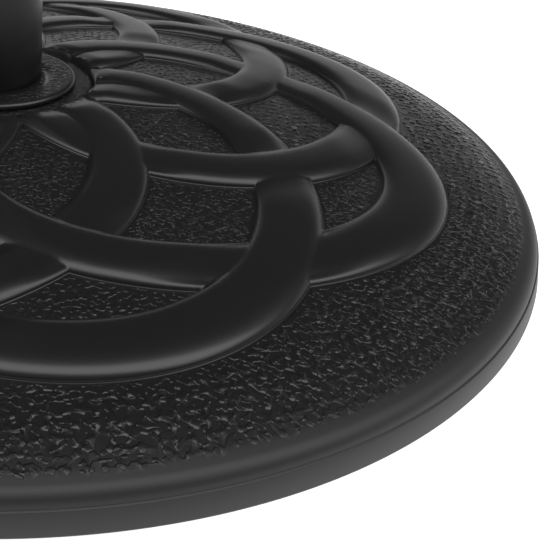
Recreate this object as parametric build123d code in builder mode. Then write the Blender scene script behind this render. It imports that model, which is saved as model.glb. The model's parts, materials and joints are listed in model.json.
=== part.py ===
from build123d import *
import math
import os

# Round parasol base: a moulded shell filled with concrete, a bolted steel tube and a clamp knob.
# The origin is on the ground under the tube's axis. +Z is up, and the clamp knob points to -Y.

# ---- driving dimensions, millimetres ----
base_diameter = 450.0
tube_diameter = 48.0
tube_wall = 1.5
pole_bore_diameter = 38.5
shell_wall = 3.0
foot_standoff = 2.0  # the rubber feet carry the rim this far off the ground
tube_top = 332.0
clamp_height = 292.0

# ---- rim and dome ----
base_radius = base_diameter / 2
rim_z = foot_standoff
seam_z = rim_z + 7.5
seam_radius = base_radius - 1.0
grain_radius = base_radius - 4.5  # the domed floor ends here and the smooth rim begins
dome_crown = 36.3  # dome height above the rim, on the axis
dome_slope = 15.5
dome_sag = 7.1
rim_shoulder = (grain_radius + 2.5, rim_z + 12.2)

# ---- interlaced rings ----
ring_count = 8
ring_offset = 88.9
ring_outer_radius = 105.4  # mean radius of the outer edge
ring_oval = (-2.9, -1.0)  # cosine and sine part of the edge's second harmonic
ring_egg = (2.95, 1.7)  # cosine and sine part of its third harmonic
ring_points = 24
ring_band = 23.0
ring_relief = 3.7
ring_reach = ring_offset + ring_outer_radius + 2.0

# ---- centre boss and the bolted joint under the tube ----
boss_radius = 48.7
boss_z = rim_z + 32.2
boss_chamfer = 1.2
valley_radius = 64.0  # inside this the bands slope down to the edge of the boss
sleeve_radius = 10.0
sleeve_flange_radius = 45.0
sleeve_flange_z = rim_z + 20.5
sleeve_flange_thick = 3.0
well_radius = 30.0
well_ceiling_z = rim_z + 13.5
bolt_radius = 5.0
bolt_head_across_flats = 17.0
bolt_head_height = 6.4
washer_radius = 15.0
washer_thick = 2.5
spring_washer_radius = 9.0
bolt_length = 36.5
running_gap = 0.05
plug_thick = 12.0

# ---- bottom pan and its fasteners ----
pan_floor_z = rim_z + 3.0
pan_floor_top = pan_floor_z + shell_wall
pan_inner_radius = base_radius - 3.5
pan_rib_count = 12
pan_rib_width = 2.0
pan_rib_depth = 2.4
post_count = 6
post_circle = 200.0
post_radius = 6.5
pilot_radius = 2.15
screw_radius = 2.1
screw_head_radius = 4.2
screw_head_height = 2.4
screw_length = 9.0
foot_count = 6
foot_circle = 185.0
foot_radius = 12.5
foot_stem_radius = 3.0
filler_circle = 125.0
filler_radius = 25.0
filler_flange_radius = 29.0
filler_flange_thick = 2.0

# ---- concrete ----
cast_gap = 0.4
locating_rib_outer = 220.0
locating_rib_inner = 217.5
locating_rib_top = rim_z + 8.5

# ---- collar round the foot of the tube ----
collar_radius = 39.8
collar_height = 3.0
collar_lip = 1.4

# ---- top of the tube ----
ring_trim_radius = 26.5
ring_trim_drop = 14.0
ring_trim_lip = 2.5
reducer_radius = 22.2
reducer_length = 110.0
reducer_flange_radius = 25.6
reducer_flange_thick = 3.0
slot_width = 14.8
slot_above_clamp = 9.0

# ---- clamp screw, along Y at clamp_height ----
clamp_radius = 4.0
thread_pitch = 1.25
clamp_turns = 10
clamp_travel = thread_pitch * clamp_turns
weld_nut_across_flats = 13.0
weld_nut_height = 8.0
shoe_width = 14.0
shoe_height = 16.0
shoe_inner_radius = 19.5
shoe_outer_radius = 22.3
dog_radius = 3.0
dog_length = 2.0
dog_depth = 1.5
knob_hub_radius = 11.0
knob_hub_length = 8.0
knob_radius = 27.0
knob_thick = 18.0
knob_scallops = 6
knob_scallop_radius = 11.0
knob_scallop_circle = 34.0
clamp_head_across_flats = 13.0
clamp_head_height = 5.3
clamp_seat = 6.0  # the screw head's seat, measured into the knob from its inner face
knob_cap_radius = 14.0
knob_cap_spigot = 9.0
knob_cap_dome = 2.2

# ---- derived ----
tube_radius = tube_diameter / 2
tube_bore = tube_radius - tube_wall
pole_bore = pole_bore_diameter / 2
reducer_bottom = tube_top - reducer_length
lip_top = tube_top + ring_trim_lip
reducer_top = lip_top + reducer_flange_thick
nut_face = tube_radius + weld_nut_height
knob_back = nut_face + clamp_travel + 1.5
knob_inner = knob_back + knob_hub_length
knob_outer = knob_inner + knob_thick
screw_seat = knob_inner + clamp_seat
dog_tip = shoe_outer_radius - dog_depth

os.makedirs("parts", exist_ok=True)


def dome_point(r, lift=0.0):
    """Point (radius, height) on the domed floor, moved up by lift."""
    t = r / base_radius
    return (r, rim_z + dome_crown - dome_slope * t - dome_sag * t * t + lift)


def dome_arc(r_start, r_end, lift=0.0):
    """Arc along the dome between two radii."""
    middle = (r_start + r_end) / 2
    return ThreePointArc(dome_point(r_start, lift), dome_point(middle, lift), dome_point(r_end, lift))


def across_clamp(y):
    """Plane facing the knob side (-Y), at distance y in front of the tube's axis."""
    return Plane(origin=(0, -y, clamp_height), x_dir=(1, 0, 0), z_dir=(0, -1, 0))


def save(piece, label):
    """Names a finished piece and writes it as its own STEP file."""
    piece.part.label = label
    export_step(piece.part, f"parts/{label}.step")


# ---- top shell: domed cover with eight interlaced ring bands in relief ----
def ring_edge(inset):
    """Points on a ring's egg-shaped outline, moved towards its centre by inset; X points outwards."""
    points = []
    for k in range(ring_points):
        turn = 2 * math.pi * k / ring_points
        radius = ring_outer_radius
        slope = 0.0
        for order, (cosine, sine) in ((2, ring_oval), (3, ring_egg)):
            radius += cosine * math.cos(order * turn) + sine * math.sin(order * turn)
            slope += order * (sine * math.cos(order * turn) - cosine * math.sin(order * turn))
        length = math.hypot(radius, slope)
        across = radius * math.cos(turn) + slope * math.sin(turn)
        along = radius * math.sin(turn) - slope * math.cos(turn)
        x = radius * math.cos(turn) - inset * across / length
        y = radius * math.sin(turn) - inset * along / length
        points.append((x, y))
    return points


with BuildSketch() as one_ring:
    with BuildLine():
        Spline(ring_edge(0.0), periodic=True)
    make_face()
    with BuildLine():
        Spline(ring_edge(ring_band), periodic=True)
    make_face(mode=Mode.SUBTRACT)

with BuildPart() as ring_relief_bands:
    with BuildSketch(Plane.XZ):
        with BuildLine():
            upper = dome_arc(boss_radius + 0.3, ring_reach + 1, ring_relief)
            lower = dome_arc(boss_radius + 0.3, ring_reach + 1, -shell_wall / 2)
            Line(upper @ 0, lower @ 0)
            Line(upper @ 1, lower @ 1)
        make_face()
    revolve(axis=Axis.Z)
    with BuildSketch(Plane.XY.offset(rim_z)):
        with PolarLocations(ring_offset, ring_count):
            add(one_ring.sketch)
    extrude(amount=dome_crown + ring_relief, mode=Mode.INTERSECT)

with BuildPart() as top_shell:
    with BuildSketch(Plane.XZ):
        with BuildLine():
            Polyline(
                dome_point(boss_radius + 0.6),
                (boss_radius, boss_z - boss_chamfer),
                (boss_radius - boss_chamfer, boss_z),
                (sleeve_radius + 0.15, boss_z),
                (sleeve_radius + 0.15, boss_z - shell_wall),
                (boss_radius - shell_wall - 1, boss_z - shell_wall),
                dome_point(boss_radius - 2, -shell_wall),
            )
            dome_arc(boss_radius - 2, grain_radius - 1, -shell_wall)
            Polyline(
                dome_point(grain_radius - 1, -shell_wall),
                (pan_inner_radius, seam_z),
                (seam_radius, seam_z),
            )
            ThreePointArc((seam_radius, seam_z), rim_shoulder, dome_point(grain_radius))
            dome_arc(boss_radius + 0.6, grain_radius)
        make_face()
    revolve(axis=Axis.Z)
    add(ring_relief_bands.part)
    # shallow valley round the boss
    with BuildSketch(Plane.XZ):
        with BuildLine():
            Polyline(
                (boss_radius, boss_z - boss_chamfer),
                dome_point(valley_radius, ring_relief),
                dome_point(valley_radius, 2 * ring_relief),
                dome_point(boss_radius, 2 * ring_relief),
                close=True,
            )
        make_face()
    revolve(axis=Axis.Z, mode=Mode.SUBTRACT)
    # hollow posts that take the pan's screws
    with BuildSketch(Plane.XY.offset(pan_floor_top)):
        with PolarLocations(post_circle, post_count, start_angle=30):
            Circle(post_radius)
    extrude(amount=dome_point(post_circle + post_radius, -1.0)[1] - pan_floor_top)
    with BuildSketch(Plane.XY.offset(pan_floor_top)):
        with PolarLocations(post_circle, post_count, start_angle=30):
            Circle(pilot_radius)
    extrude(amount=screw_length - shell_wall + 0.5, mode=Mode.SUBTRACT)
save(top_shell, "top_shell")

# ---- bottom pan: closes the shell, with a raised well for the centre bolt ----
with BuildPart() as bottom_pan:
    with BuildSketch(Plane.XZ):
        with BuildLine():
            Polyline(
                (bolt_radius + 0.5, well_ceiling_z),
                (well_radius, well_ceiling_z),
                (well_radius, pan_floor_z),
                (pan_inner_radius - 1.5, pan_floor_z),
                (pan_inner_radius - 1.0, rim_z),
                (base_radius - 1, rim_z),
            )
            RadiusArc((base_radius - 1, rim_z), (base_radius, rim_z + 1), -1)
            Polyline(
                (base_radius, rim_z + 1),
                (seam_radius, seam_z),
                (pan_inner_radius, seam_z),
                (pan_inner_radius, pan_floor_top),
                (locating_rib_outer, pan_floor_top),
                (locating_rib_outer, locating_rib_top),
                (locating_rib_inner, locating_rib_top),
                (locating_rib_inner, pan_floor_top),
                (well_radius + shell_wall, pan_floor_top),
                (well_radius + shell_wall, well_ceiling_z + shell_wall),
                (bolt_radius + 0.5, well_ceiling_z + shell_wall),
                (bolt_radius + 0.5, well_ceiling_z),
            )
        make_face()
    revolve(axis=Axis.Z)
    # radial stiffening ribs under the floor
    rib_span = pan_inner_radius - 1 - well_radius
    rib_middle = (pan_inner_radius - 1 + well_radius) / 2
    with BuildSketch(Plane.XY.offset(pan_floor_z - pan_rib_depth)):
        with PolarLocations(rib_middle, pan_rib_count, start_angle=15):
            Rectangle(rib_span, pan_rib_width)
    extrude(amount=pan_rib_depth)
    # holes for the screws, the feet's stems and the filler plug
    with BuildSketch(Plane.XY.offset(pan_floor_z)):
        with PolarLocations(post_circle, post_count, start_angle=30):
            Circle(screw_radius + 0.2)
        with PolarLocations(foot_circle, foot_count):
            Circle(foot_stem_radius + running_gap)
        with Locations((filler_circle, 0)):
            Circle(filler_radius)
    extrude(amount=shell_wall, mode=Mode.SUBTRACT)
save(bottom_pan, "bottom_pan")

# ---- concrete fill, cast round the anchor sleeve ----
with BuildPart() as ballast:
    ballast_lift = -shell_wall - cast_gap
    ballast_radius = locating_rib_inner - cast_gap
    well_clear = well_radius + shell_wall + cast_gap
    ballast_bottom = pan_floor_top + cast_gap
    with BuildSketch(Plane.XZ):
        with BuildLine():
            dome_arc(boss_radius - 2, ballast_radius, ballast_lift)
            Polyline(
                dome_point(ballast_radius, ballast_lift),
                (ballast_radius, ballast_bottom),
                (well_clear, ballast_bottom),
                (well_clear, well_ceiling_z + shell_wall + cast_gap),
                (sleeve_radius + running_gap, well_ceiling_z + shell_wall + cast_gap),
                (sleeve_radius + running_gap, boss_z - shell_wall - cast_gap),
                (boss_radius - shell_wall - 1.5, boss_z - shell_wall - cast_gap),
                dome_point(boss_radius - 2, ballast_lift),
            )
        make_face()
    revolve(axis=Axis.Z)
    with BuildSketch(Plane.XY.offset(sleeve_flange_z - running_gap)):
        Circle(sleeve_flange_radius + running_gap)
    extrude(amount=sleeve_flange_thick + 2 * running_gap, mode=Mode.SUBTRACT)
    with BuildSketch(Plane.XY.offset(ballast_bottom)):
        with PolarLocations(post_circle, post_count, start_angle=30):
            Circle(post_radius + cast_gap)
    extrude(amount=boss_z, mode=Mode.SUBTRACT)
save(ballast, "ballast")

# ---- steel anchor: a sleeve with a flange held in the concrete ----
with BuildPart() as anchor_sleeve:
    sleeve_bottom = well_ceiling_z + shell_wall
    with BuildSketch(Plane.XY.offset(sleeve_bottom)):
        Circle(sleeve_radius)
    extrude(amount=boss_z - sleeve_bottom)
    with BuildSketch(Plane.XY.offset(sleeve_flange_z)):
        Circle(sleeve_flange_radius)
    extrude(amount=sleeve_flange_thick)
    with BuildSketch(Plane.XY.offset(sleeve_bottom)):
        Circle(bolt_radius + 0.5)
    extrude(amount=boss_z - sleeve_bottom, mode=Mode.SUBTRACT)
save(anchor_sleeve, "anchor_sleeve")

# ---- centre bolt with a flat washer and a split spring washer ----
with BuildPart() as flat_washer:
    with BuildSketch(Plane.XY.offset(well_ceiling_z - washer_thick)):
        Circle(washer_radius)
        Circle(bolt_radius + 0.3, mode=Mode.SUBTRACT)
    extrude(amount=washer_thick)
save(flat_washer, "flat_washer")

with BuildPart() as spring_washer:
    spring_washer_z = well_ceiling_z - 2 * washer_thick
    with BuildSketch(Plane.XY.offset(spring_washer_z)):
        Circle(spring_washer_radius)
        Circle(bolt_radius + 0.3, mode=Mode.SUBTRACT)
        with Locations((spring_washer_radius - 2, 0)):
            Rectangle(2 * bolt_radius, 1.0, mode=Mode.SUBTRACT)
    extrude(amount=washer_thick)
save(spring_washer, "spring_washer")

with BuildPart() as centre_bolt:
    with BuildSketch(Plane.XY.offset(spring_washer_z - bolt_head_height)):
        RegularPolygon(bolt_head_across_flats / 2, 6, major_radius=False)
    extrude(amount=bolt_head_height)
    with BuildSketch(Plane.XY.offset(spring_washer_z)):
        Circle(bolt_radius)
    extrude(amount=bolt_length)
    chamfer(centre_bolt.faces().sort_by(Axis.Z)[-1].edges(), length=1.0)
save(centre_bolt, "centre_bolt")

# ---- tube, with the tapped plug welded into its foot ----
with BuildPart() as tube_foot_plug:
    with BuildSketch(Plane.XY.offset(boss_z)):
        Circle(tube_bore - running_gap)
        Circle(bolt_radius + running_gap, mode=Mode.SUBTRACT)
    extrude(amount=plug_thick)
    chamfer(tube_foot_plug.faces().sort_by(Axis.Z)[-1].edges().sort_by(SortBy.RADIUS)[-1], length=1.5)
save(tube_foot_plug, "tube_foot_plug")

with BuildPart() as tube:
    with BuildSketch(Plane.XY.offset(boss_z)):
        Circle(tube_radius)
        Circle(tube_bore, mode=Mode.SUBTRACT)
    extrude(amount=tube_top - boss_z)
    with BuildSketch(across_clamp(0)):
        Circle(clamp_radius + 0.6)
    extrude(amount=tube_radius + 1, mode=Mode.SUBTRACT)
save(tube, "tube")

# ---- moulded collar that hides the joint between tube and shell ----
with BuildPart() as tube_collar:
    with BuildSketch(Plane.XZ):
        with BuildLine():
            collar_top = boss_z + collar_height
            Polyline(
                (collar_radius - collar_lip, collar_top),
                (tube_radius + 0.15, collar_top),
                (tube_radius + 0.15, boss_z),
                (collar_radius - 1.0, boss_z),
                (collar_radius, boss_z + 1.0),
                (collar_radius, collar_top - collar_lip),
            )
            RadiusArc(
                (collar_radius, collar_top - collar_lip),
                (collar_radius - collar_lip, collar_top),
                -collar_lip,
            )
        make_face()
    revolve(axis=Axis.Z)
save(tube_collar, "tube_collar")

# ---- underside: rubber feet, pan screws and filler plug ----
with BuildPart() as rubber_feet:
    with BuildSketch():
        with PolarLocations(foot_circle, foot_count):
            Circle(foot_radius)
    extrude(amount=pan_floor_z)
    chamfer(rubber_feet.faces().group_by(Axis.Z)[0].edges(), length=1.0)
    with BuildSketch(Plane.XY.offset(pan_floor_z)):
        with PolarLocations(foot_circle, foot_count):
            Circle(foot_stem_radius)
    extrude(amount=shell_wall)
save(rubber_feet, "rubber_feet")

with BuildPart() as pan_screws:
    with BuildSketch(Plane.XY.offset(pan_floor_z - screw_head_height)):
        with PolarLocations(post_circle, post_count, start_angle=30):
            Circle(screw_head_radius)
    extrude(amount=screw_head_height)
    fillet(pan_screws.faces().group_by(Axis.Z)[0].edges(), radius=0.8)
    with BuildSketch(Plane.XY.offset(pan_floor_z)):
        with PolarLocations(post_circle, post_count, start_angle=30):
            Circle(screw_radius)
    extrude(amount=screw_length)
    # cross recess in each head
    with BuildSketch(Plane.XY.offset(pan_floor_z - screw_head_height)):
        with PolarLocations(post_circle, post_count, start_angle=30):
            Rectangle(4.0, 0.9)
            Rectangle(0.9, 4.0)
    extrude(amount=1.4, mode=Mode.SUBTRACT)
save(pan_screws, "pan_screws")

with BuildPart() as filler_plug:
    with BuildSketch(Plane.XY.offset(pan_floor_z - filler_flange_thick)):
        with Locations((filler_circle, 0)):
            Circle(filler_flange_radius)
    extrude(amount=filler_flange_thick)
    with BuildSketch(Plane.XY.offset(pan_floor_z)):
        with Locations((filler_circle, 0)):
            Circle(filler_radius - running_gap)
    extrude(amount=shell_wall)
save(filler_plug, "filler_plug")

# ---- trim ring on the tube's cut end ----
with BuildPart() as tube_top_ring:
    with BuildSketch(Plane.XY.offset(tube_top - ring_trim_drop)):
        Circle(ring_trim_radius)
        Circle(tube_radius + running_gap, mode=Mode.SUBTRACT)
    extrude(amount=ring_trim_drop)
    with BuildSketch(Plane.XY.offset(tube_top)):
        Circle(ring_trim_radius)
        Circle(tube_bore, mode=Mode.SUBTRACT)
    extrude(amount=ring_trim_lip)
    fillet(tube_top_ring.faces().sort_by(Axis.Z)[-1].edges().sort_by(SortBy.RADIUS)[-1], radius=1.2)
save(tube_top_ring, "tube_top_ring")

# ---- lift-out reducer sleeve, with a slot that clears the clamp shoe ----
with BuildPart() as pole_reducer:
    with BuildSketch(Plane.XY.offset(reducer_bottom)):
        Circle(reducer_radius)
    extrude(amount=lip_top - reducer_bottom)
    with BuildSketch(Plane.XY.offset(lip_top)):
        Circle(reducer_flange_radius)
    extrude(amount=reducer_flange_thick)
    fillet(pole_reducer.faces().sort_by(Axis.Z)[-1].edges(), radius=1.2)
    with BuildSketch(Plane.XY.offset(reducer_bottom)):
        Circle(pole_bore)
    extrude(amount=reducer_top - reducer_bottom, mode=Mode.SUBTRACT)
    chamfer(pole_reducer.faces().sort_by(Axis.Z)[-1].edges().sort_by(SortBy.RADIUS)[0], length=0.8)
    slot_top = clamp_height + slot_above_clamp
    with BuildSketch(Plane.XY.offset(reducer_bottom)):
        with Locations((0, -reducer_radius)):
            Rectangle(slot_width, reducer_radius)
    extrude(amount=slot_top - reducer_bottom, mode=Mode.SUBTRACT)
save(pole_reducer, "pole_reducer")

# ---- weld nut, saddled on the tube ----
with BuildPart() as weld_nut:
    with BuildSketch(across_clamp(nut_face)):
        RegularPolygon(weld_nut_across_flats / 2, 6, major_radius=False, rotation=30)
    extrude(amount=-weld_nut_height - 3)
    with BuildSketch(Plane.XY.offset(clamp_height - weld_nut_across_flats)):
        Circle(tube_radius)
    extrude(amount=2 * weld_nut_across_flats, mode=Mode.SUBTRACT)
    with BuildSketch(across_clamp(0)):
        Circle(clamp_radius + running_gap)
    extrude(amount=nut_face, mode=Mode.SUBTRACT)
save(weld_nut, "weld_nut")

# ---- pressure shoe: a curved pad between the clamp screw and the pole ----
with BuildPart() as pressure_shoe:
    with BuildSketch(Plane.XY.offset(clamp_height - shoe_height / 2)):
        Circle(shoe_outer_radius)
        Circle(shoe_inner_radius, mode=Mode.SUBTRACT)
        with Locations((0, -tube_radius)):
            Rectangle(shoe_width, tube_radius, mode=Mode.INTERSECT)
    extrude(amount=shoe_height)
    with BuildSketch(across_clamp(dog_tip - running_gap)):
        Circle(dog_radius + running_gap)
    extrude(amount=dog_depth + 1, mode=Mode.SUBTRACT)
save(pressure_shoe, "pressure_shoe")

# ---- clamp screw: hex head held in the knob, dog point in the shoe ----
with BuildPart() as clamp_screw:
    with BuildSketch(across_clamp(screw_seat)):
        RegularPolygon(clamp_head_across_flats / 2, 6, major_radius=False)
    extrude(amount=clamp_head_height)
    with BuildSketch(across_clamp(dog_tip + dog_length)):
        Circle(clamp_radius)
    extrude(amount=screw_seat - dog_tip - dog_length)
    with BuildSketch(across_clamp(dog_tip)):
        Circle(dog_radius)
    extrude(amount=dog_length)
save(clamp_screw, "clamp_screw")

# ---- knob and its snap-in cap ----
with BuildPart() as knob_body:
    with BuildSketch(across_clamp(knob_inner)):
        Circle(knob_radius)
        with PolarLocations(knob_scallop_circle, knob_scallops):
            Circle(knob_scallop_radius, mode=Mode.SUBTRACT)
        fillet(vertices(), radius=3.0)
    extrude(amount=knob_thick)
    fillet(knob_body.faces().sort_by(Axis.Y)[0].edges(), radius=2.5)
    with BuildSketch(across_clamp(knob_back)):
        Circle(knob_hub_radius)
    extrude(amount=knob_hub_length)
    with BuildSketch(across_clamp(knob_back)):
        Circle(clamp_radius + running_gap)
    extrude(amount=knob_outer - knob_back, mode=Mode.SUBTRACT)
    with BuildSketch(across_clamp(screw_seat)):
        RegularPolygon(clamp_head_across_flats / 2 + running_gap, 6, major_radius=False)
    extrude(amount=knob_thick, mode=Mode.SUBTRACT)
    with BuildSketch(across_clamp(screw_seat + clamp_head_height + running_gap)):
        Circle(knob_cap_spigot)
    extrude(amount=knob_thick, mode=Mode.SUBTRACT)
save(knob_body, "knob_body")

with BuildPart() as knob_cap:
    with BuildSketch(across_clamp(screw_seat + clamp_head_height + 2 * running_gap)):
        Circle(knob_cap_spigot - running_gap)
    extrude(amount=knob_outer - screw_seat - clamp_head_height - 2 * running_gap)
    with BuildSketch(across_clamp(knob_outer)):
        Circle(knob_cap_radius)
    extrude(amount=knob_cap_dome)
    fillet(knob_cap.faces().sort_by(Axis.Y)[0].edges(), radius=1.6)
save(knob_cap, "knob_cap")
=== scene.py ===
"""Parasol base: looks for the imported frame. Everything is in metres, in the frame's own axes."""

import json
import math

import bpy
import numpy as np
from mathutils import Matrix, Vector
from mathutils.geometry import delaunay_2d_cdt

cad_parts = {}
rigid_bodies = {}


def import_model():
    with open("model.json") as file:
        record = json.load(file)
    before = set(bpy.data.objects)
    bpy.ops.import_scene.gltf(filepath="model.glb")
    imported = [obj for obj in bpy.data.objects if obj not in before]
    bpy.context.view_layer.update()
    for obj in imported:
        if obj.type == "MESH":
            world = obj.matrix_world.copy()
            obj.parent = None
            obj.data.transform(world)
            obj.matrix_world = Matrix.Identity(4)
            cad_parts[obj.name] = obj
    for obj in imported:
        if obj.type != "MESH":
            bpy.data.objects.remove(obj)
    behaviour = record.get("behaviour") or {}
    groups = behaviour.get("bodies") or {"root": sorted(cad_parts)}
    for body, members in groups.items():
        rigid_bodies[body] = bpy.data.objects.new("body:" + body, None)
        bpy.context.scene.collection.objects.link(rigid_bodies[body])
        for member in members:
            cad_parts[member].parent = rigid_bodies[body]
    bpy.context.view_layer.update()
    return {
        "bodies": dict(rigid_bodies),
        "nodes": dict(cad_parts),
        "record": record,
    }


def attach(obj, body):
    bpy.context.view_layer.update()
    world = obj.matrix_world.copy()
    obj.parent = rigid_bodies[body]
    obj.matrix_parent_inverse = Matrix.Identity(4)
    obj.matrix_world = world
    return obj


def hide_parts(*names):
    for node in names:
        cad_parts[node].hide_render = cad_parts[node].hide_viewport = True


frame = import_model()

MM = 0.001

# ---- base, in millimetres: the dome, its rim and the interlaced rings ----
BASE_RADIUS = 225.0
RIM_Z = 2.0
SEAM_Z = RIM_Z + 7.5
SEAM_RADIUS = BASE_RADIUS - 1.0
GRAIN_RADIUS = 220.5
RIM_START = 72.0  # angle on the rim's rounding where the dome runs into it, in degrees
RIM_COS = math.cos(math.radians(RIM_START))
RIM_SIN = math.sin(math.radians(RIM_START))
RIM_STEPS = 12
DOME_CROWN = 36.3
DOME_SLOPE = 15.5
DOME_SAG = 7.1
SHELL_WALL = 3.0
SHOULDER_RADIUS = 200.0
SHOULDER_BEND = 0.0056  # per millimetre

RING_COUNT = 8
RING_OFFSET = 88.9
RING_OUTER_RADIUS = 105.4
RING_HARMONICS = ((2, -2.9, -1.0), (3, 2.95, 1.7))  # order, cosine and sine parts of a ring's egg shape
BAND_HALF = 11.5
BAND_HEIGHT = 3.7
CROWN_POWER = 3.6  # roundness of a band's top
SHOULDER_POWER = 0.55  # roundness of its shoulders, which end steep at the foot
UNDER_DIP = 1.0
OVER_LIFT = 0.25
WEAVE_LENGTH = 17.0
BLEND = 0.35

BOSS_RADIUS = 48.7
BOSS_Z = RIM_Z + 32.2
BOSS_ROUND = 4.0  # width of the boss's rounded edge
BOSS_DROP = 2.0
MOAT_DEPTH = 2.6  # the floor is lower in the small gaps next to the boss
BAND_DIP = 1.2  # the bands slope down to the edge of the boss
VALLEY_WIDTH = 9.0
COLLAR_RADIUS = 39.8
COLLAR_HEIGHT = 3.0
COLLAR_LIP = 1.8
TUBE_RADIUS = 24.0

# the reference viewpoint, in degrees and millimetres; the lens shift is in parts of the picture's width
CAMERA_AZIMUTH = -10.9135
CAMERA_PITCH = 14.0584
CAMERA_DISTANCE = 406.147
CAMERA_HEIGHT = 184.689  # over the rim's underside
CAMERA_LENS = 60.6873
CAMERA_SENSOR = 36.0
CAMERA_SHIFT = (("shift_x", 0.5185), ("shift_y", -0.5490))

AROUND = 400  # segments round the base
ROW_POINTS = 220  # points along a ring
CELL_GRAIN = 0.6  # the pebbles are shallower between the rings than on the border
CELL_REACH = 165.0
PEBBLE_PITCH = 4.4
PEBBLE_SIDES = 6
PEBBLE_HEIGHT = 0.3


def dome(r):
    """Height of the domed floor at radius r; it bends down more steeply just before the rim."""
    t = r / BASE_RADIUS
    bend = SHOULDER_BEND * np.maximum(r - SHOULDER_RADIUS, 0.0) ** 2
    return RIM_Z + DOME_CROWN - DOME_SLOPE * t - DOME_SAG * t * t - bend


def smooth(x):
    """Smooth step from 0 to 1 as x goes from 0 to 1."""
    x = np.clip(x, 0.0, 1.0)
    return x * x * (3 - 2 * x)


# ---- the woven relief, as a height over the dome ----
def band_profile(inside):
    """Height of a band over the dome, at a distance inside its edge (negative is outside)."""
    across = np.clip(1 - inside / BAND_HALF, 0.0, 1.0)
    return BAND_HEIGHT * (1 - across ** CROWN_POWER) ** SHOULDER_POWER


def ring_centre(i):
    turn = 2 * math.pi * i / RING_COUNT
    return RING_OFFSET * math.cos(turn), RING_OFFSET * math.sin(turn)


def ring_middle(turn):
    """(radius of a ring's middle line, its lengthening by the slope), by angle from outwards."""
    radius = RING_OUTER_RADIUS - BAND_HALF
    slope = 0.0
    for order, cosine, sine in RING_HARMONICS:
        radius = radius + cosine * np.cos(order * turn) + sine * np.sin(order * turn)
        slope = slope + order * (sine * np.cos(order * turn) - cosine * np.sin(order * turn))
    return radius, np.sqrt(1 + (slope / radius) ** 2)


def edge_distance(i, x, y):
    """Distance inside the nearer edge of ring i's band (negative is outside)."""
    cx, cy = ring_centre(i)
    turn = np.arctan2(y - cy, x - cx) - 2 * math.pi * i / RING_COUNT
    radius, stretch = ring_middle(turn)
    return BAND_HALF - np.abs(np.hypot(x - cx, y - cy) - radius) / stretch


def passes_over(i, j, x, y):
    """True where ring i lies over ring j at (x, y)."""
    step = (j - i) % RING_COUNT
    if step < RING_COUNT / 2:
        return np.full(np.shape(x), step % 2 == 1)
    if step > RING_COUNT / 2:
        return np.full(np.shape(x), (RING_COUNT - step) % 2 == 0)
    cx, cy = ring_centre(i)
    return cx * y - cy * x < 0


def soft_max(a, b):
    """Larger of two heights, with a small fillet where they meet."""
    gap = np.clip(1 - np.abs(a - b) / BLEND, 0.0, 1.0)
    return np.maximum(a, b) + BLEND * gap ** 2 / 4


def relief(x, y):
    """(height over the dome, 1 on bands and 0 on the floor) at (x, y)."""
    inside = [edge_distance(i, x, y) for i in range(RING_COUNT)]
    near_boss = 1 - smooth((np.hypot(x, y) - BOSS_RADIUS) / VALLEY_WIDTH)
    height = -MOAT_DEPTH * near_boss
    on_band = np.zeros(np.shape(x))
    for j in range(RING_COUNT):
        weave = np.zeros(np.shape(x))
        for i in range(RING_COUNT):
            if i != j:
                reach = smooth(1 + inside[i] / WEAVE_LENGTH)
                under = passes_over(i, j, x, y)
                weave = np.where(under, np.minimum(weave, -UNDER_DIP * reach), weave)
                weave = np.where(~under & (weave >= 0), np.maximum(weave, OVER_LIFT * reach), weave)
        own = band_profile(inside[j]) + weave * smooth(inside[j] / 3.0) - BAND_DIP * near_boss
        height = np.where(inside[j] > 0.02, soft_max(height, own), height)
        on_band = np.maximum(on_band, inside[j] > -0.5)
    return height, on_band


# ---- mesh helpers ----
def new_object(name, verts, faces, material, smooth_shade=True):
    mesh = bpy.data.meshes.new(name)
    mesh.from_pydata(verts, [], faces)
    mesh.validate()
    mesh.update()
    obj = bpy.data.objects.new(name, mesh)
    bpy.context.scene.collection.objects.link(obj)
    mesh.materials.append(material)
    if smooth_shade:
        mesh.polygons.foreach_set("use_smooth", [True] * len(mesh.polygons))
    return obj


def sharpen_border(mesh, marked):
    """Sharp edges inside the rim where marked faces meet unmarked ones (marked is 1 or 0 by face)."""
    loop_edges = np.zeros(len(mesh.loops), np.int32)
    mesh.loops.foreach_get("edge_index", loop_edges)
    loop_counts = np.zeros(len(mesh.polygons), np.int32)
    mesh.polygons.foreach_get("loop_total", loop_counts)
    marks = np.bincount(loop_edges, np.repeat(marked, loop_counts), len(mesh.edges))
    uses = np.bincount(loop_edges, minlength=len(mesh.edges))
    places = np.zeros(len(mesh.vertices) * 3, np.float32)
    mesh.vertices.foreach_get("co", places)
    radii = np.hypot(places[0::3], places[1::3]) / MM
    ends = np.zeros(len(mesh.edges) * 2, np.int32)
    mesh.edges.foreach_get("vertices", ends)
    inside_rim = radii[ends].reshape(-1, 2).min(1) < GRAIN_RADIUS - 0.3
    sharp = (marks > 0) & (marks < uses) & inside_rim
    layer = mesh.attributes.new("sharp_edge", "BOOLEAN", "EDGE")
    layer.data.foreach_set("value", sharp)


def point_value(obj, name, values):
    """A named number on each vertex, for the materials."""
    layer = obj.data.attributes.new(name, "FLOAT", "POINT")
    layer.data.foreach_set("value", np.asarray(values, np.float32))


def ring_points(r, z, count=AROUND):
    """Points on a level circle."""
    turns = np.arange(count) * 2 * math.pi / count
    return np.stack([r * np.cos(turns), r * np.sin(turns), np.full(count, z)], -1)


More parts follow.
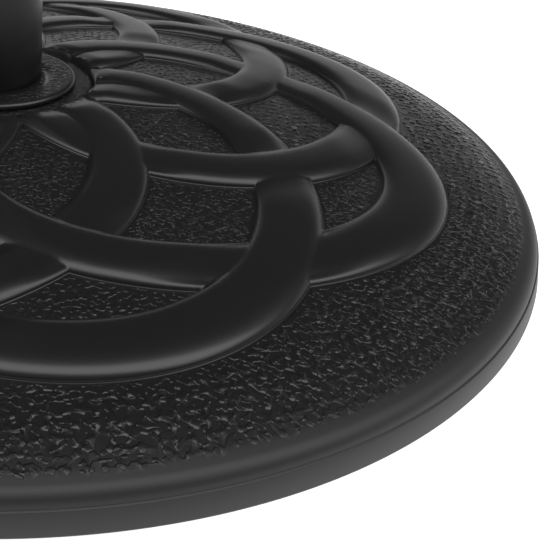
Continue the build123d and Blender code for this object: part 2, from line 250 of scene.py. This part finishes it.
def lathe(profile, count=AROUND):
    """Vertices and faces of a closed profile [(r, z), ...] turned round Z, outside to the right."""
    verts = np.concatenate([ring_points(r, z, count) for r, z in profile]) * MM
    rows = len(profile)
    faces = []
    for row in range(rows):
        nxt = (row + 1) % rows
        for k in range(count):
            k2 = (k + 1) % count
            faces.append((row * count + k, row * count + k2, nxt * count + k2, nxt * count + k))
    return verts.tolist(), faces


def arc(cx, cz, radius, start, end, steps):
    """Points on an arc in the (r, z) plane, angles in degrees."""
    turns = [math.radians(start + (end - start) * k / steps) for k in range(steps + 1)]
    return [(cx + radius * math.cos(t), cz + radius * math.sin(t)) for t in turns]


# ---- materials ----
# noise scales are per metre, bump depths in metres
GRAIN_NOISE_SCALE = 520
GRAIN_BUMP = 0.00025
GRAIN_SHARE = 0.5  # the grain attribute's part in the sum that the islands are cut from
ISLAND_EDGE = (1.0, 1.1)  # the sum where an island's edge starts and where it is full
FINE_NOISE_SCALE = 1400
FINE_BUMP = 0.00005
RESIN_COLOUR = (0.009, 0.009, 0.0093, 1)
RESIN_ROUGHNESS = (0.26, 0.5)  # where the matte attribute is 0 and where it is 1
RESIN_SPECULAR = 0.42
GRAIN_GLINT = -0.03  # change of roughness where there is grain
COAT_NOISE_SCALE = 900
COAT_BUMP = 0.03 * MM


def node_material(name):
    mat = bpy.data.materials.new(name)
    mat.use_nodes = True
    nodes = mat.node_tree.nodes
    nodes.clear()
    out = nodes.new("ShaderNodeOutputMaterial")
    shader = nodes.new("ShaderNodeBsdfPrincipled")
    mat.node_tree.links.new(shader.outputs[0], out.inputs[0])
    return mat, nodes, mat.node_tree.links, shader


def resin(name):
    """Black moulded resin: pebbled where the mesh's grain attribute is 1, satin smooth where it is 0."""
    mat, nodes, links, shader = node_material(name)
    where = nodes.new("ShaderNodeTexCoord")
    pebble = nodes.new("ShaderNodeTexNoise")
    pebble.inputs["Scale"].default_value = GRAIN_NOISE_SCALE
    pebble.inputs["Detail"].default_value = 0.2
    pebble.inputs["Roughness"].default_value = 0.4
    links.new(where.outputs["Object"], pebble.inputs["Vector"])
    islands = nodes.new("ShaderNodeMapRange")
    islands.interpolation_type = "SMOOTHSTEP"
    islands.inputs["From Min"].default_value, islands.inputs["From Max"].default_value = ISLAND_EDGE
    grain = nodes.new("ShaderNodeAttribute")
    grain.attribute_name = "grain"
    gate = nodes.new("ShaderNodeMath")
    gate.operation = "MULTIPLY_ADD"
    links.new(grain.outputs["Fac"], gate.inputs[0])
    gate.inputs[1].default_value = GRAIN_SHARE
    links.new(pebble.outputs["Fac"], gate.inputs[2])
    links.new(gate.outputs[0], islands.inputs["Value"])
    bump = nodes.new("ShaderNodeBump")
    bump.inputs["Strength"].default_value = 1.0
    bump.inputs["Distance"].default_value = GRAIN_BUMP
    links.new(islands.outputs[0], bump.inputs["Height"])
    fine = nodes.new("ShaderNodeTexNoise")
    fine.inputs["Scale"].default_value = FINE_NOISE_SCALE
    links.new(where.outputs["Object"], fine.inputs["Vector"])
    micro = nodes.new("ShaderNodeBump")
    micro.inputs["Strength"].default_value = 0.15
    micro.inputs["Distance"].default_value = FINE_BUMP
    links.new(fine.outputs["Fac"], micro.inputs["Height"])
    links.new(bump.outputs[0], micro.inputs["Normal"])
    links.new(micro.outputs[0], shader.inputs["Normal"])
    matte = nodes.new("ShaderNodeAttribute")
    matte.attribute_name = "matte"
    rough = nodes.new("ShaderNodeMapRange")
    rough.inputs["To Min"].default_value, rough.inputs["To Max"].default_value = RESIN_ROUGHNESS
    links.new(matte.outputs["Fac"], rough.inputs["Value"])
    glint = nodes.new("ShaderNodeMath")
    glint.operation = "MULTIPLY_ADD"
    glint.inputs[1].default_value = GRAIN_GLINT
    links.new(grain.outputs["Fac"], glint.inputs[0])
    links.new(rough.outputs[0], glint.inputs[2])
    links.new(glint.outputs[0], shader.inputs["Roughness"])
    shader.inputs["Base Color"].default_value = RESIN_COLOUR
    shader.inputs["Specular IOR Level"].default_value = RESIN_SPECULAR
    return mat


def plain(name, colour, roughness, metallic):
    """One colour under a faint procedural unevenness."""
    mat, nodes, links, shader = node_material(name)
    where = nodes.new("ShaderNodeTexCoord")
    noise = nodes.new("ShaderNodeTexNoise")
    noise.inputs["Scale"].default_value = COAT_NOISE_SCALE
    links.new(where.outputs["Object"], noise.inputs["Vector"])
    bump = nodes.new("ShaderNodeBump")
    bump.inputs["Strength"].default_value = 0.3
    bump.inputs["Distance"].default_value = COAT_BUMP
    links.new(noise.outputs["Fac"], bump.inputs["Height"])
    links.new(bump.outputs[0], shader.inputs["Normal"])
    shader.inputs["Base Color"].default_value = (*colour, 1)
    shader.inputs["Roughness"].default_value = roughness
    shader.inputs["Metallic"].default_value = metallic
    return mat


# ---- top shell ----
def shell_plan():
    """Plan-view points and edges that the shell's top surface is triangulated from."""
    points, edges = [], []

    def add_loop(xs, ys, keep=None):
        count = len(xs)
        used = np.ones(count, bool) if keep is None else keep(xs, ys)
        index = {}
        for k in range(count):
            if used[k]:
                index[k] = len(points)
                points.append(Vector((xs[k], ys[k])))
        for k in range(count):
            if used[k] and used[(k + 1) % count]:
                edges.append((index[k], index[(k + 1) % count]))

    def add_circle(r, step):
        turns = np.arange(max(24, int(round(2 * math.pi * r / step)))) * 1.0
        turns *= 2 * math.pi / len(turns)
        add_loop(r * np.cos(turns), r * np.sin(turns))

    insets = [-0.8, -0.06, 0, 0.1, 0.25, 0.5, 0.9, 1.4, 2.1, 3.2, 4.8, 7.4]
    row_turns = np.arange(ROW_POINTS) * 2 * math.pi / ROW_POINTS
    for i in range(RING_COUNT):
        cx, cy = ring_centre(i)
        radius, stretch = ring_middle(row_turns)
        facing = row_turns + 2 * math.pi * i / RING_COUNT

        def seen(xs, ys, i=i):
            shown = np.hypot(xs, ys) > BOSS_RADIUS + 0.5
            for over in range(RING_COUNT):
                if over != i:
                    shown &= ~((edge_distance(over, xs, ys) > 5.5) & passes_over(over, i, xs, ys))
            return shown

        offsets = [BAND_HALF - inset for inset in insets]
        for offset in offsets + [-offset for offset in offsets] + [0]:
            reach = radius + offset * stretch
            add_loop(cx + reach * np.cos(facing), cy + reach * np.sin(facing), seen)

    for inset in (BOSS_ROUND, 3.0, 2.0, 1.2, 0.6, 0.2, 0.0, -0.3):
        add_circle(BOSS_RADIUS - inset, 1.5)
    add_circle(36.0, 4.0)
    add_circle(TUBE_RADIUS + 1, 2 * math.pi * (TUBE_RADIUS + 1) / AROUND)
    add_circle(GRAIN_RADIUS - 0.6, 2 * math.pi * GRAIN_RADIUS / AROUND)
    rim_start = len(points)
    turns = np.arange(AROUND) * 2 * math.pi / AROUND
    for t in turns:
        points.append(Vector((GRAIN_RADIUS * math.cos(t), GRAIN_RADIUS * math.sin(t))))
    for k in range(AROUND):
        edges.append((rim_start + k, rim_start + (k + 1) % AROUND))

    heights = [0.0] * len(points)
    for x, y, height in pebbles():
        points.append(Vector((x, y)))
        heights.append(height)
    return points, edges, heights


def pebbles():
    """The moulded grain: low pebbles scattered over the floor, as (x, y, height) of their points."""
    draw = np.random.RandomState(8)
    centres = []
    rows = int((GRAIN_RADIUS - BOSS_RADIUS) / (PEBBLE_PITCH * 0.87))
    for r in np.linspace(BOSS_RADIUS + 3, GRAIN_RADIUS - 2.6, rows):
        count = int(2 * math.pi * r / PEBBLE_PITCH)
        turns = (np.arange(count) + draw.uniform(0, 1)) * 2 * math.pi / count
        turns = turns + draw.uniform(-0.5, 0.5, count) / r
        reach = np.minimum(r + draw.uniform(-0.5, 0.5, count), GRAIN_RADIUS - 2.6)
        centres.append(np.stack([reach * np.cos(turns), reach * np.sin(turns)], -1))
    centres = np.concatenate(centres)
    clear = np.ones(len(centres), bool)
    for i in range(RING_COUNT):
        clear &= edge_distance(i, centres[:, 0], centres[:, 1]) < -1.7
    found = []
    for x, y in centres[clear]:
        along, wide = draw.uniform(1.0, 1.75), draw.uniform(0.75, 1.05)
        lean, tall = draw.uniform(0, math.pi), draw.uniform(0.7, 1.2)
        for ring, rise in ((1.0, 0.0), (0.8, 0.75), (0.0, 1.0)):
            sides = PEBBLE_SIDES if ring else 1
            for k in range(sides):
                turn = 2 * math.pi * (k + draw.uniform(-0.25, 0.25)) / sides
                a, b = ring * along * math.cos(turn), ring * wide * math.sin(turn)
                px = x + a * math.cos(lean) - b * math.sin(lean)
                py = y + a * math.sin(lean) + b * math.cos(lean)
                found.append((px, py, PEBBLE_HEIGHT * tall * rise))
    return found


def circle_members(xy, radius):
    """Indices of the points on a circle about the axis, in order of angle."""
    found = [i for i in range(len(xy)) if abs(np.hypot(xy[i, 0], xy[i, 1]) - radius) < 1e-3]
    found.sort(key=lambda i: math.atan2(xy[i, 1], xy[i, 0]) % (2 * math.pi))
    return found


def build_shell(material):
    """The top shell: the triangulated relief, joined to a turned rim and inside."""
    points, edges, heights = shell_plan()
    flat, _, tris, sources, _, _ = delaunay_2d_cdt(points, edges, [], 0, 1e-4)
    xy = np.array([tuple(p) for p in flat])
    bumps = np.array([max((heights[k] for k in source), default=0.0) for source in sources])
    r = np.hypot(xy[:, 0], xy[:, 1])
    tris = [t for t in tris if np.hypot(*xy[list(t)].mean(0)) > TUBE_RADIUS + 0.9]
    lift, on_band = relief(xy[:, 0], xy[:, 1])
    strength = CELL_GRAIN + (1 - CELL_GRAIN) * smooth((r - CELL_REACH) / 25)
    # the pebbles grow lower towards the rim
    strength = strength * (0.3 + 0.7 * smooth((GRAIN_RADIUS - 2 - r) / 12))
    z = dome(r) + lift + bumps * strength
    boss_drop = BOSS_DROP * np.clip((r - BOSS_RADIUS + BOSS_ROUND) / BOSS_ROUND, 0, 1) ** 2.5
    on_boss = r < BOSS_RADIUS + 0.1
    z = np.where(on_boss, BOSS_Z - boss_drop, z)
    grain = np.where(on_boss, 1.0, 1.0 - on_band)
    grain = np.where(r > GRAIN_RADIUS - 0.7, 0.0, grain)
    verts = np.column_stack([xy, z]) * MM
    faces = [tuple(t) for t in tris]

    # the rim and the inside are turned rows joined to the outer edge of the relief
    outer = circle_members(xy, GRAIN_RADIUS)
    angles = np.array([math.atan2(xy[i, 1], xy[i, 0]) for i in outer])
    rows = []
    rise = dome(GRAIN_RADIUS) - SEAM_Z
    for k in range(1, RIM_STEPS + 1):
        turn = math.radians(RIM_START - RIM_START * k / RIM_STEPS)
        reach = (math.cos(turn) - RIM_COS) / (1 - RIM_COS)
        row_r = GRAIN_RADIUS + (SEAM_RADIUS - GRAIN_RADIUS) * reach
        rows.append((row_r, SEAM_Z + rise * math.sin(turn) / RIM_SIN))
    # the wall runs on behind the pan's ledge, so that no shaded corner shows at the seam
    rows.append((SEAM_RADIUS, SEAM_Z - 0.5))
    rows.append((SEAM_RADIUS - 0.05, SEAM_Z - 0.52))
    rows.append((SEAM_RADIUS - 2.5, SEAM_Z - 0.5))
    for under in (GRAIN_RADIUS - 1, 180, 120, 60):
        rows.append((under, dome(under) - SHELL_WALL))
    rows.append((TUBE_RADIUS + 1, BOSS_Z - SHELL_WALL))
    all_verts = verts.tolist()
    inner = circle_members(xy, TUBE_RADIUS + 1)
    previous = outer
    for row_r, row_z in rows:
        start = len(all_verts)
        for a in angles:
            all_verts.append([row_r * math.cos(a) * MM, row_r * math.sin(a) * MM, row_z * MM])
        current = list(range(start, start + len(angles)))
        for k in range(len(angles)):
            k2 = (k + 1) % len(angles)
            faces.append((previous[k], current[k], current[k2], previous[k2]))
        previous = current
    for k in range(len(angles)):
        k2 = (k + 1) % len(angles)
        faces.append((previous[k], inner[k], inner[k2], previous[k2]))
    shell = new_object("shell_cover", all_verts, faces, material)
    # sharp edges between the floor and the pebbles keep the pebbles crisp
    floor_point = (bumps == 0) & (on_band == 0) & (r > BOSS_RADIUS + 1) & (r < GRAIN_RADIUS + 1)
    on_floor = np.zeros(len(faces))
    for k, tri in enumerate(tris):
        on_floor[k] = floor_point[list(tri)].all()
    # the rim's first row of faces counts as floor too, so that the floor runs smoothly into the rim
    on_floor[len(tris) : len(tris) + len(angles)] = 1
    sharpen_border(shell.data, on_floor)
    values = np.zeros(len(all_verts), np.float32)
    values[: len(grain)] = grain
    point_value(shell, "grain", values)
    all_radii = [math.hypot(v[0], v[1]) / MM for v in all_verts]
    point_value(shell, "matte", [smooth((radius - GRAIN_RADIUS + 4) / 4) for radius in all_radii])
    return shell


def build_pan(material):
    """The pan under the seam: its outer wall, the seam's ledge and the well of the bolt."""
    profile = [
        (5.5, RIM_Z + 13.5), (30.0, RIM_Z + 13.5), (30.0, RIM_Z + 3), (220.0, RIM_Z + 3),
        (220.5, RIM_Z), (224.2, RIM_Z), (224.75, RIM_Z + 0.25), (225.0, RIM_Z + 0.8),
    ]
    # the seam's narrow sloping ledge catches the light; its end rows keep it flat in smooth shading
    profile.append((SEAM_RADIUS + 0.43, SEAM_Z - 0.36))
    profile += [(SEAM_RADIUS + 0.4 * k, SEAM_Z - 0.28 * k) for k in (1.0, 0.93, -1.0)]
    profile += [(221.5, SEAM_Z - 0.02), (221.5, RIM_Z + 6), (33.0, RIM_Z + 6),
                (33.0, RIM_Z + 16.5), (5.5, RIM_Z + 16.5)]
    verts, faces = lathe(profile)
    pan = new_object("pan_cover", verts, faces, material)
    point_value(pan, "matte", [1.0] * len(verts))
    return pan


def build_collar(material):
    """The collar round the tube's foot, grained on top inside its rounded lip."""
    top = BOSS_Z + COLLAR_HEIGHT
    lip = arc(COLLAR_RADIUS - COLLAR_LIP, top - COLLAR_LIP, COLLAR_LIP, 0, 90, 8)
    profile = [(TUBE_RADIUS + 0.15, BOSS_Z), (COLLAR_RADIUS - 1, BOSS_Z), (COLLAR_RADIUS, BOSS_Z + 0.8)]
    profile += lip
    profile += [(COLLAR_RADIUS - 2.4, top), (30.0, top), (TUBE_RADIUS + 0.15, top)]
    verts, faces = lathe(profile, 240)
    collar = new_object("collar_cover", verts, faces, material)
    grained_radius = (COLLAR_RADIUS - 2.3) * MM
    grained_height = (top - 0.1) * MM
    values = [float(math.hypot(v[0], v[1]) < grained_radius and v[2] > grained_height) for v in verts]
    point_value(collar, "grain", values)
    return collar


# ---- stage ----
# brightness by the level component of direction towards the viewer, and by height
FRONT_LIGHT = [
    (-1.0, 0.02), (-0.64, 0.025), (-0.47, 0.05), (-0.34, 0.1), (-0.19, 0.2), (-0.05, 0.42), (0.08, 1.6),
    (0.5, 1.6), (0.66, 0.15), (1.0, 0.1),
]
OVERHEAD_LIGHT = [(0.0, 0.0), (0.3, 0.0), (0.6, 1.0), (1.0, 1.0)]
HORIZON_LIGHT = [
    (0.0, 0.30), (0.1, 0.32), (0.2, 0.26), (0.28, 0.16), (0.35, 0.04), (0.45, 0.005), (0.6, 0.0),
]
BACKDROP_LIGHT = [(-1.0, 1.0), (-0.2, 0.9), (0.4, 0.2), (1.0, 0.12)]
STUDIO_STRENGTH = 2.0


def build_floor():
    """A pale plain floor; it looks white to the camera and is softer in reflections."""
    mat, nodes, links, shader = node_material("studio_floor")
    shader.inputs["Base Color"].default_value = (0.4, 0.4, 0.4, 1)
    shader.inputs["Roughness"].default_value = 0.9
    shader.inputs["Emission Color"].default_value = (1, 1, 1, 1)
    # bright round the base; darker farther out, where only reflections would show it
    where = nodes.new("ShaderNodeTexCoord")
    reach = nodes.new("ShaderNodeVectorMath")
    reach.operation = "LENGTH"
    links.new(where.outputs["Object"], reach.inputs[0])
    fall = nodes.new("ShaderNodeMapRange")
    fall.interpolation_type = "SMOOTHSTEP"
    fall.inputs["From Min"].default_value = 0.35
    fall.inputs["From Max"].default_value = 0.8
    fall.inputs["To Min"].default_value = 0.9
    fall.inputs["To Max"].default_value = 0.1
    links.new(reach.outputs["Value"], fall.inputs["Value"])
    path = nodes.new("ShaderNodeLightPath")
    seen = nodes.new("ShaderNodeMath")
    seen.operation = "MAXIMUM"
    links.new(fall.outputs[0], seen.inputs[0])
    links.new(path.outputs["Is Camera Ray"], seen.inputs[1])
    links.new(seen.outputs[0], shader.inputs["Emission Strength"])
    size = 6.0
    corners = [(-size, -size, 0), (size, -size, 0), (size, size, 0), (-size, size, 0)]
    new_object("floor", corners, [(0, 1, 2, 3)], mat)


def build_world():
    """Soft light fixed to the viewer: one high up and a little in front, and a far horizon glow."""
    world = bpy.data.worlds.new("studio")
    bpy.context.scene.world = world
    world.use_nodes = True
    nodes, links = world.node_tree.nodes, world.node_tree.links
    nodes.clear()
    out = nodes.new("ShaderNodeOutputWorld")
    white = nodes.new("ShaderNodeBackground")
    white.inputs["Color"].default_value = (1, 1, 1, 1)
    soft = nodes.new("ShaderNodeBackground")
    where = nodes.new("ShaderNodeTexCoord")

    def vector(operation, *sources):
        node = nodes.new("ShaderNodeVectorMath")
        node.operation = operation
        for k, source in enumerate(sources):
            if isinstance(source, tuple):
                node.inputs[k].default_value = source
            else:
                links.new(source, node.inputs[k])
        return node

    def ramp(source, low, high, stops):
        scaled = nodes.new("ShaderNodeMapRange")
        scaled.inputs["From Min"].default_value = low
        scaled.inputs["From Max"].default_value = high
        links.new(source, scaled.inputs["Value"])
        node = nodes.new("ShaderNodeValToRGB")
        links.new(scaled.outputs[0], node.inputs["Fac"])
        node.color_ramp.elements.remove(node.color_ramp.elements[1])
        for k, (position, value) in enumerate(stops):
            place = (position - low) / (high - low)
            element = node.color_ramp.elements[0] if k == 0 else node.color_ramp.elements.new(place)
            element.position = place
            element.color = (value, value, value, 1)
        return node.outputs["Color"]

    # level direction from the scene towards the viewer
    towards = nodes.new("ShaderNodeVectorTransform")
    towards.vector_type = "VECTOR"
    towards.convert_from = "CAMERA"
    towards.convert_to = "WORLD"
    towards.inputs[0].default_value = (0, 0, -1)
    level = vector("NORMALIZE", vector("MULTIPLY", towards.outputs[0], (1, 1, 0)).outputs[0])
    front = vector("DOT_PRODUCT", where.outputs["Generated"], level.outputs[0])
    across = ramp(front.outputs["Value"], -1.0, 1.0, FRONT_LIGHT)
    split = nodes.new("ShaderNodeSeparateXYZ")
    links.new(where.outputs["Generated"], split.inputs[0])
    glow = ramp(split.outputs["Z"], 0.0, 1.0, HORIZON_LIGHT)
    above = ramp(split.outputs["Z"], 0.0, 1.0, OVERHEAD_LIGHT)
    behind = ramp(front.outputs["Value"], -1.0, 1.0, BACKDROP_LIGHT)
    glow = vector("MULTIPLY", glow, behind)
    total = vector("ADD", vector("MULTIPLY", across, above).outputs[0], glow.outputs[0])
    links.new(total.outputs[0], soft.inputs["Color"])
    soft.inputs["Strength"].default_value = STUDIO_STRENGTH
    path = nodes.new("ShaderNodeLightPath")
    mix = nodes.new("ShaderNodeMixShader")
    links.new(path.outputs["Is Camera Ray"], mix.inputs[0])
    links.new(soft.outputs[0], mix.inputs[1])
    links.new(white.outputs[0], mix.inputs[2])
    links.new(mix.outputs[0], out.inputs[0])


def build_camera():
    """The reference viewpoint: a level lens shifted to frame one quarter of the base."""
    azimuth = math.radians(CAMERA_AZIMUTH)
    distance = CAMERA_DISTANCE * MM
    height = (CAMERA_HEIGHT + RIM_Z) * MM
    data = bpy.data.cameras.new("camera")
    cam = bpy.data.objects.new("camera", data)
    bpy.context.scene.collection.objects.link(cam)
    bpy.context.scene.camera = cam
    cam.location = (distance * math.sin(azimuth), -distance * math.cos(azimuth), height)
    cam.rotation_euler = (math.radians(90 - CAMERA_PITCH), 0, azimuth)
    data.sensor_width = CAMERA_SENSOR
    data.lens = CAMERA_LENS
    data.clip_start = 0.01
    for path, shift in CAMERA_SHIFT:
        shift_close_in(cam, path, shift)


def shift_close_in(cam, path, shift):
    """Applies a lens shift only while the camera stands close, so that distant views stay centred."""
    curve = cam.data.driver_add(path)
    curve.driver.type = "SUM"
    variable = curve.driver.variables.new()
    variable.type = "LOC_DIFF"
    variable.targets[0].id = cam
    variable.targets[1].id = frame["bodies"]["base"]
    for modifier in list(curve.modifiers):
        curve.modifiers.remove(modifier)
    for distance, value in ((0.6, shift), (0.7, shift), (0.8, 0.0), (0.9, 0.0)):
        key = curve.keyframe_points.insert(distance, value)
        key.interpolation = "LINEAR"
    curve.extrapolation = "CONSTANT"


def stand_in(cover, node):
    """Puts a visual piece in the place of a packed one, on the base body."""
    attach(cover, "base")
    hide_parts(node)


# ---- the scene ----
by_slot = {"shell_resin": resin("shell_resin"), "collar_resin": resin("collar_resin")}
for name, colour, roughness, metallic in (
    ("tube_coat", (0.005, 0.005, 0.0053), 0.3, 0.0),
    ("zinc_steel", (0.6, 0.6, 0.58), 0.35, 1.0),
    ("concrete", (0.42, 0.41, 0.39), 0.9, 0.0),
    ("foot_rubber", (0.02, 0.02, 0.02), 0.7, 0.0),
    ("trim_plastic", (0.014, 0.014, 0.0145), 0.42, 0.0),
    ("reducer_plastic", (0.03, 0.03, 0.031), 0.4, 0.0),
    ("knob_plastic", (0.014, 0.014, 0.0145), 0.42, 0.0),
):
    by_slot[name] = plain(name, colour, roughness, metallic)
slots = {s["node"]: s["material_slot"] for s in frame["record"]["subparts"]}
for name, node in frame["nodes"].items():
    for slot in node.material_slots:
        slot.material = by_slot[slots[name]]

stand_in(build_pan(by_slot["shell_resin"]), "bottom_pan")
stand_in(build_shell(by_slot["shell_resin"]), "top_shell")
stand_in(build_collar(by_slot["collar_resin"]), "tube_collar")

build_floor()
build_world()
build_camera()
bpy.context.scene.view_settings.view_transform = "Standard"
